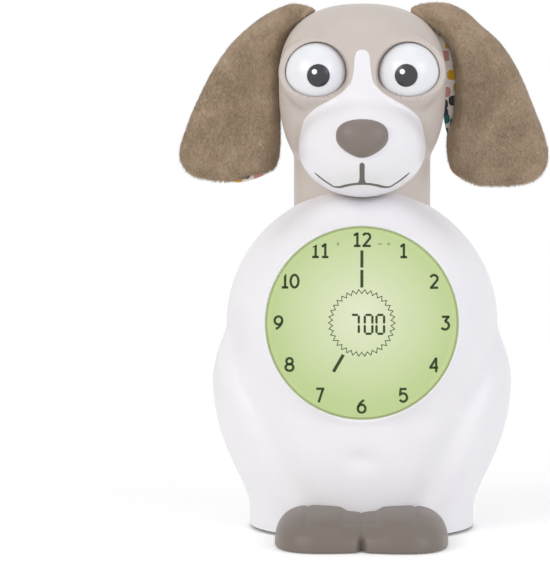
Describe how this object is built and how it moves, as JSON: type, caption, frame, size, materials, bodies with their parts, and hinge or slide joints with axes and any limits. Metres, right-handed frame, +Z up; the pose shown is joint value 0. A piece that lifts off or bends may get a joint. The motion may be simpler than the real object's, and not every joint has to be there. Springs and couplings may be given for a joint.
{
  "type": "sleep trainer clock",
  "caption": "Puppy-shaped bedside sleep trainer clock with a round backlit dial, eyes that roll from open to lidded, plush hanging ears, moulded paws and rear keys.",
  "frame": {"origin": "centre of the base pad's underside, on the table", "axes": "+Z up, the display faces -Y, +X to the right of someone looking at the display"},
  "size_m": [0.1666, 0.1354, 0.2356],
  "materials": {
    "white_body": "satin moulded white",
    "white_mask": "satin moulded white",
    "eye_white": "glossy white",
    "taupe_head": "soft satin taupe",
    "taupe_lid": "soft satin taupe",
    "paw_taupe": "satin dark taupe",
    "nose_taupe": "satin grey taupe",
    "pupil_grey": "glossy dark grey",
    "base_grey": "matt grey",
    "pad_rubber": "soft non-slip pad",
    "lens_clear": "clear acrylic",
    "tape_black": "foam tape",
    "lcd_green": "backlit display",
    "guide_clear": "clear light guide",
    "board_green": "circuit board",
    "led_white": "light emitters",
    "inner_plastic": "inner moulding",
    "screw_steel": "zinc plated",
    "chip_black": "black resin",
    "ribbon_amber": "flexible ribbon",
    "cone_paper": "paper cone",
    "cell_wrap": "wrapped steel can",
    "contact_nickel": "nickel plated",
    "motor_steel": "plain steel",
    "gear_plastic": "acetal gear",
    "ear_plush": "short plush",
    "ear_print": "printed cotton",
    "key_grey": "soft grey keys"
  },
  "bodies": {
    "clock_body": {"front_shell": "white_body", "rear_shell": "white_body", "base_plate": "base_grey", "non_slip_pad": "pad_rubber", "paws": "paw_taupe", "paw_screws": "screw_steel", "dial_lens": "lens_clear", "lens_tape": "tape_black", "lcd_panel": "lcd_green", "light_guide": "guide_clear", "backlight_board": "board_green", "backlight_leds": "led_white", "display_frame": "inner_plastic", "display_screws": "screw_steel", "main_board": "board_green", "board_components": "chip_black", "button_switches": "chip_black", "board_screws": "screw_steel", "display_ribbon": "ribbon_amber", "speaker_frame": "chip_black", "speaker_cone": "cone_paper", "battery_tray": "inner_plastic", "battery_cells": "cell_wrap", "battery_contacts": "contact_nickel", "tray_screws": "screw_steel", "power_socket": "contact_nickel", "body_screws": "screw_steel", "base_screws": "screw_steel", "neck_plate": "inner_plastic", "neck_clamp": "inner_plastic", "neck_screws": "screw_steel", "head_front": "taupe_head", "head_rear": "taupe_head", "muzzle_mask": "white_mask", "nose": "nose_taupe", "head_screws": "screw_steel", "eye_carrier": "inner_plastic", "eye_motor": "motor_steel", "carrier_screws": "screw_steel", "ear_rods": "motor_steel"},
    "eyes": {"eye_white_left": "eye_white", "eye_white_right": "eye_white", "eye_lid_left": "taupe_lid", "eye_lid_right": "taupe_lid", "pupils": "pupil_grey", "eye_shaft": "motor_steel", "eye_gear": "gear_plastic"},
    "eye_drive": {"drive_gear": "gear_plastic"},
    "left_ear": {"ear_plush_left": "ear_plush", "ear_lining_left": "ear_print"},
    "right_ear": {"ear_plush_right": "ear_plush", "ear_lining_right": "ear_print"},
    "battery_cover": {"battery_door": "white_body", "door_screw": "screw_steel"},
    "time_key": {"button_time": "key_grey"},
    "alarm_key": {"button_alarm": "key_grey"},
    "nap_key": {"button_nap": "key_grey"},
    "light_key": {"button_light": "key_grey"},
    "plus_key": {"button_plus": "key_grey"},
    "minus_key": {"button_minus": "key_grey"}
  },
  "joints": [
    {"name": "eyes_roll", "type": "hinge", "parent": "clock_body", "child": "eyes", "pos_m": [0, -0.027, 0.2035], "axis": [1, 0, 0], "range_deg": [0, 180]},
    {"name": "drive_gear_spin", "type": "hinge", "parent": "clock_body", "child": "eye_drive", "pos_m": [0, -0.0062, 0.2035], "axis": [1, 0, 0], "range_deg": [-90, 10]},
    {"name": "left_ear_lift", "type": "hinge", "parent": "clock_body", "child": "left_ear", "pos_m": [-0.019, 0.01, 0.226], "axis": [0, 1, 0], "range_deg": [0, 55]},
    {"name": "right_ear_lift", "type": "hinge", "parent": "clock_body", "child": "right_ear", "pos_m": [0.019, 0.01, 0.226], "axis": [0, -1, 0], "range_deg": [0, 55]},
    {"name": "battery_cover_off", "type": "slide", "parent": "clock_body", "child": "battery_cover", "axis": [0, 1, 0], "range_m": [0, 0.04]},
    {"name": "time_press", "type": "slide", "parent": "clock_body", "child": "time_key", "axis": [0, -1, 0], "range_m": [0, 0.0006], "stiffness_N_per_m": 600, "springref_m": -0.001},
    {"name": "alarm_press", "type": "slide", "parent": "clock_body", "child": "alarm_key", "axis": [0, -1, 0], "range_m": [0, 0.0006], "stiffness_N_per_m": 600, "springref_m": -0.001},
    {"name": "nap_press", "type": "slide", "parent": "clock_body", "child": "nap_key", "axis": [0, -1, 0], "range_m": [0, 0.0006], "stiffness_N_per_m": 600, "springref_m": -0.001},
    {"name": "light_press", "type": "slide", "parent": "clock_body", "child": "light_key", "axis": [0, -1, 0], "range_m": [0, 0.0006], "stiffness_N_per_m": 600, "springref_m": -0.001},
    {"name": "plus_press", "type": "slide", "parent": "clock_body", "child": "plus_key", "axis": [0, -1, 0], "range_m": [0, 0.0006], "stiffness_N_per_m": 600, "springref_m": -0.001},
    {"name": "minus_press", "type": "slide", "parent": "clock_body", "child": "minus_key", "axis": [0, -1, 0], "range_m": [0, 0.0006], "stiffness_N_per_m": 600, "springref_m": -0.001}
  ],
  "couplings": [
    {"joint": "drive_gear_spin", "follows": "eyes_roll", "ratio": -0.44444}
  ]
}
